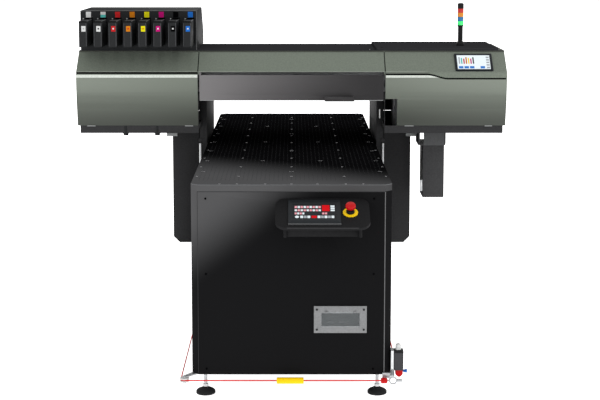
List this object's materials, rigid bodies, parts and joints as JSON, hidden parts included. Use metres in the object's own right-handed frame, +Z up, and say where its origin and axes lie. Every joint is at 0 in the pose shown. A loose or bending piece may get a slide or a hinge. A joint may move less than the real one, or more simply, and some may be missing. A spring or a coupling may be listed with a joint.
{
  "type": "flatbed printer",
  "caption": "Flatbed inkjet printer: a gantry with ink rack, control screen and signal tower travels over a long vacuum table on a cabinet with levelling feet.",
  "frame": {"origin": "middle of the footprint, on the floor under the feet", "axes": "+X to the operator's right across the table, +Y from the console end to the rear along the table, +Z up"},
  "size_m": [2.034, 2.614, 1.563],
  "materials": {
    "aluminium": "mill",
    "black_paint": "semi-gloss",
    "black_plastic": "fine texture",
    "black_rubber": "matt",
    "blue_plastic": "gloss",
    "cast_alloy": "painted",
    "clear_plastic": "gloss",
    "grey_paint": "satin",
    "grey_plastic": "satin",
    "lamp_plastic": "ribbed",
    "olive_paint": "satin metallic",
    "panel_glass": "gloss",
    "red_plastic": "gloss",
    "smoked_cover": "gloss",
    "steel": "ground",
    "table_anodised": "black anodised",
    "white_plastic": "satin",
    "yellow_plastic": "gloss"
  },
  "bodies": {
    "cabinet": {"cabinet_frame": "black_paint", "table_plate": "table_anodised", "vacuum_plenum": "aluminium", "front_panel": "black_paint", "rear_panel": "black_paint", "side_panels": "black_paint", "panel_screws": "steel", "travel_rails": "steel", "travel_belts": "black_rubber", "travel_drive": "cast_alloy", "vacuum_blower": "cast_alloy", "power_supply": "aluminium", "breaker_box": "grey_plastic", "console_shell": "grey_paint", "hmi_panel": "panel_glass", "estop_base": "yellow_plastic", "foot_plates": "steel", "pull_rope": "red_plastic", "rope_hardware": "steel", "rope_switch": "grey_plastic"},
    "levelling_feet": {"levelling_feet": "black_rubber"},
    "travel_shaft": {"travel_shaft": "steel"},
    "idler_shaft": {"idler_shaft": "steel"},
    "breaker_lid": {"breaker_lid": "clear_plastic"},
    "breaker_toggle_left": {"breaker_toggle_left": "black_plastic"},
    "breaker_toggle_right": {"breaker_toggle_right": "black_plastic"},
    "estop_stem": {"estop_stem": "steel"},
    "estop_cap": {"estop_cap": "red_plastic"},
    "rope_pulley_front_left": {"rope_pulley_front_left": "white_plastic"},
    "rope_pulley_rear_left": {"rope_pulley_rear_left": "white_plastic"},
    "rope_pulley_rear_right": {"rope_pulley_rear_right": "white_plastic"},
    "reset_knob": {"reset_knob": "blue_plastic"},
    "gantry_base": {"saddles": "grey_paint", "travel_blocks": "steel", "lift_columns": "steel"},
    "printer": {"leg_plates": "grey_paint", "carriage_beam": "aluminium", "side_trays": "black_paint", "cover_left": "olive_paint", "cover_right": "olive_paint", "hood_centre": "olive_paint", "top_covers": "grey_paint", "back_cover": "grey_paint", "leg_housings": "grey_paint", "ink_rack": "grey_paint", "signal_tower": "lamp_plastic", "lcd_panel": "panel_glass", "waste_housing": "grey_paint", "cap_station": "grey_plastic"},
    "front_cover": {"front_cover": "smoked_cover"},
    "carriage": {"carriage": "aluminium", "print_heads": "steel"},
    "ink_tray_1": {"ink_tray_1": "black_plastic"},
    "ink_tray_2": {"ink_tray_2": "black_plastic"},
    "ink_tray_3": {"ink_tray_3": "black_plastic"},
    "ink_tray_4": {"ink_tray_4": "black_plastic"},
    "ink_tray_5": {"ink_tray_5": "black_plastic"},
    "ink_tray_6": {"ink_tray_6": "black_plastic"},
    "ink_tray_7": {"ink_tray_7": "black_plastic"},
    "ink_tray_8": {"ink_tray_8": "black_plastic"}
  },
  "joints": [
    {"name": "gantry_travel", "type": "slide", "parent": "cabinet", "child": "gantry_base", "axis": [0, 1, 0], "range_m": [-1.2, 0.35]},
    {"name": "printer_lift", "type": "slide", "parent": "gantry_base", "child": "printer", "axis": [0, 0, 1], "range_m": [-0.1, 0]},
    {"name": "carriage_travel", "type": "slide", "parent": "printer", "child": "carriage", "axis": [1, 0, 0], "range_m": [-1.4, 0.05]},
    {"name": "front_cover_hinge", "type": "hinge", "parent": "printer", "child": "front_cover", "pos_m": [0, -0.088, 1.243], "axis": [-1, 0, 0], "range_deg": [0, 80]},
    {"name": "ink_tray_1_slide", "type": "slide", "parent": "printer", "child": "ink_tray_1", "axis": [0, -1, 0], "range_m": [0, 0.3]},
    {"name": "ink_tray_2_slide", "type": "slide", "parent": "printer", "child": "ink_tray_2", "axis": [0, -1, 0], "range_m": [0, 0.3]},
    {"name": "ink_tray_3_slide", "type": "slide", "parent": "printer", "child": "ink_tray_3", "axis": [0, -1, 0], "range_m": [0, 0.3]},
    {"name": "ink_tray_4_slide", "type": "slide", "parent": "printer", "child": "ink_tray_4", "axis": [0, -1, 0], "range_m": [0, 0.3]},
    {"name": "ink_tray_5_slide", "type": "slide", "parent": "printer", "child": "ink_tray_5", "axis": [0, -1, 0], "range_m": [0, 0.3]},
    {"name": "ink_tray_6_slide", "type": "slide", "parent": "printer", "child": "ink_tray_6", "axis": [0, -1, 0], "range_m": [0, 0.3]},
    {"name": "ink_tray_7_slide", "type": "slide", "parent": "printer", "child": "ink_tray_7", "axis": [0, -1, 0], "range_m": [0, 0.3]},
    {"name": "ink_tray_8_slide", "type": "slide", "parent": "printer", "child": "ink_tray_8", "axis": [0, -1, 0], "range_m": [0, 0.3]},
    {"name": "estop_press", "type": "slide", "parent": "cabinet", "child": "estop_stem", "axis": [0, 0.4226, -0.9063], "range_m": [0, 0.005], "stiffness_N_per_m": 1500},
    {"name": "estop_twist", "type": "hinge", "parent": "estop_stem", "child": "estop_cap", "pos_m": [0.233, -1.24268, 0.82122], "axis": [0, -0.4226, 0.9063], "range_deg": [0, 45], "stiffness_Nm_per_rad": 0.2},
    {"name": "breaker_lid_hinge", "type": "hinge", "parent": "cabinet", "child": "breaker_lid", "pos_m": [0.199, -1.149, 0.37], "axis": [-1, 0, 0], "range_deg": [0, 110]},
    {"name": "breaker_toggle_left_pivot", "type": "hinge", "parent": "cabinet", "child": "breaker_toggle_left", "pos_m": [0.161, -1.1375, 0.328], "axis": [1, 0, 0], "range_deg": [0, 60]},
    {"name": "breaker_toggle_right_pivot", "type": "hinge", "parent": "cabinet", "child": "breaker_toggle_right", "pos_m": [0.21, -1.1375, 0.328], "axis": [1, 0, 0], "range_deg": [0, 60]},
    {"name": "reset_knob_press", "type": "slide", "parent": "cabinet", "child": "reset_knob", "axis": [-1, 0, 0], "range_m": [0, 0.005], "stiffness_N_per_m": 300},
    {"name": "rope_pulley_front_left_spin", "type": "hinge", "parent": "cabinet", "child": "rope_pulley_front_left", "pos_m": [-0.434, -1.155, 0.092], "axis": [0, 0, 1], "continuous": true},
    {"name": "rope_pulley_rear_left_spin", "type": "hinge", "parent": "cabinet", "child": "rope_pulley_rear_left", "pos_m": [-0.434, 1.275, 0.092], "axis": [0, 0, 1], "continuous": true},
    {"name": "rope_pulley_rear_right_spin", "type": "hinge", "parent": "cabinet", "child": "rope_pulley_rear_right", "pos_m": [0.425, 1.275, 0.092], "axis": [0, 0, 1], "continuous": true},
    {"name": "travel_shaft_spin", "type": "hinge", "parent": "cabinet", "child": "travel_shaft", "pos_m": [0, 1.09, 0.486], "axis": [1, 0, 0], "continuous": true},
    {"name": "idler_shaft_spin", "type": "hinge", "parent": "cabinet", "child": "idler_shaft", "pos_m": [0, -0.97, 0.486], "axis": [1, 0, 0], "continuous": true},
    {"name": "feet_level", "type": "slide", "parent": "cabinet", "child": "levelling_feet", "axis": [0, 0, -1], "range_m": [0, 0.015]}
  ],
  "couplings": [
    {"joint": "travel_shaft_spin", "follows": "gantry_travel", "rad_per_m": -42.553},
    {"joint": "idler_shaft_spin", "follows": "gantry_travel", "rad_per_m": -42.553}
  ]
}
